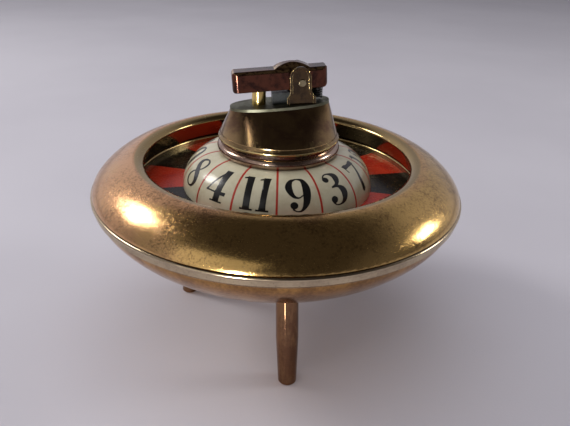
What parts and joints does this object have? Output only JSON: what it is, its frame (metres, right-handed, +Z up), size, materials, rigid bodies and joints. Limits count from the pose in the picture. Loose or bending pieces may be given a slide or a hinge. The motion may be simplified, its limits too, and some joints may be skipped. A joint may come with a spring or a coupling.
{
  "type": "roulette wheel table lighter",
  "caption": "Table lighter set in a spinning number wheel, inside a rolled brass bowl on splayed legs, with a rocking snuffer lever that turns a spark wheel.",
  "frame": {"origin": "on the floor under the middle of the bowl", "axes": "+Z up along the wheel's axis, +X towards the lever's thumb-piece, one leg 1 degree from -Y towards +X"},
  "size_m": [0.112, 0.112, 0.0879],
  "materials": {
    "bowl_brass": "aged brass with a brown tarnish",
    "crown_brass": "aged brass, pitted, with coppery tarnish",
    "leg_brass": "coppery aged brass",
    "plated_steel": "dull plated steel",
    "plain_brass": "plain drawn brass",
    "printed_tin": "tin printed in red and black sectors",
    "rim_brass": "polished brass edge",
    "cream_enamel": "glossy cream enamel with printed numbers",
    "collar_brass": "pinkish worn brass",
    "housing_bronze": "dark bronze-brown brass, smooth",
    "head_patina": "greenish grey patina",
    "cotton": "cotton",
    "tube_brass": "bright brass",
    "gasket_rubber": "black rubber",
    "spring_steel": "blackened spring steel",
    "flint_alloy": "grey flint alloy",
    "dark_steel": "blackened steel",
    "bracket_bronze": "brown bronze with rubbed edges",
    "pin_steel": "rubbed steel rivet",
    "lever_copper": "dark copper-brown plate, rubbed at the edges"
  },
  "bodies": {
    "base": {"lower_shell": "bowl_brass", "upper_shell": "crown_brass", "leg_1": "leg_brass", "leg_2": "leg_brass", "leg_3": "leg_brass", "leg_screws": "plated_steel", "leg_washers": "plated_steel", "spindle": "plated_steel", "spindle_washer": "plated_steel", "spindle_nut": "plated_steel", "thrust_washer": "plain_brass", "hub_washer": "plated_steel", "hub_screw": "plated_steel"},
    "wheel": {"wheel_plate": "plain_brass", "printed_disc": "printed_tin", "rim_bead": "rim_brass", "number_dome": "cream_enamel", "collar_ring": "collar_brass", "lighter_cup": "plain_brass", "hub_bush": "plain_brass"},
    "lighter": {"lighter_housing": "housing_bronze", "top_plate": "head_patina", "fuel_tank": "plain_brass", "fuel_wadding": "cotton", "wick": "cotton", "wick_tube": "tube_brass", "filler_screw": "plain_brass", "filler_gasket": "gasket_rubber", "flint_tube": "plain_brass", "flint_screw": "plain_brass", "flint_spring": "spring_steel", "flint": "flint_alloy", "flint_block": "dark_steel", "front_bracket": "bracket_bronze", "rear_bracket": "bracket_bronze", "pivot_pin": "pin_steel", "lever_spring": "spring_steel"},
    "lever": {"rocker_lever": "lever_copper", "snuffer_cap": "plain_brass", "wheel_pawl": "dark_steel"},
    "striker": {"spark_wheel": "dark_steel"}
  },
  "joints": [
    {"name": "wheel_spin", "type": "hinge", "parent": "base", "child": "wheel", "pos_m": [0, 0, 0.0344], "axis": [0, 0, 1], "continuous": true},
    {"name": "lighter_lift", "type": "slide", "parent": "wheel", "child": "lighter", "axis": [0, 0, 1], "range_m": [0, 0.026]},
    {"name": "lever_press", "type": "hinge", "parent": "lighter", "child": "lever", "pos_m": [0.00588, 0, 0.08259], "axis": [0, 1, 0], "range_deg": [0, 28], "stiffness_Nm_per_rad": 0.02, "springref_deg": -20.05, "deforming": ["lever_spring"]},
    {"name": "spark_wheel_turn", "type": "hinge", "parent": "lighter", "child": "striker", "pos_m": [0.00588, 0, 0.08259], "axis": [0, 1, 0], "range_deg": [0, 28]}
  ],
  "couplings": [
    {"joint": "spark_wheel_turn", "follows": "lever_press", "ratio": 1}
  ]
}
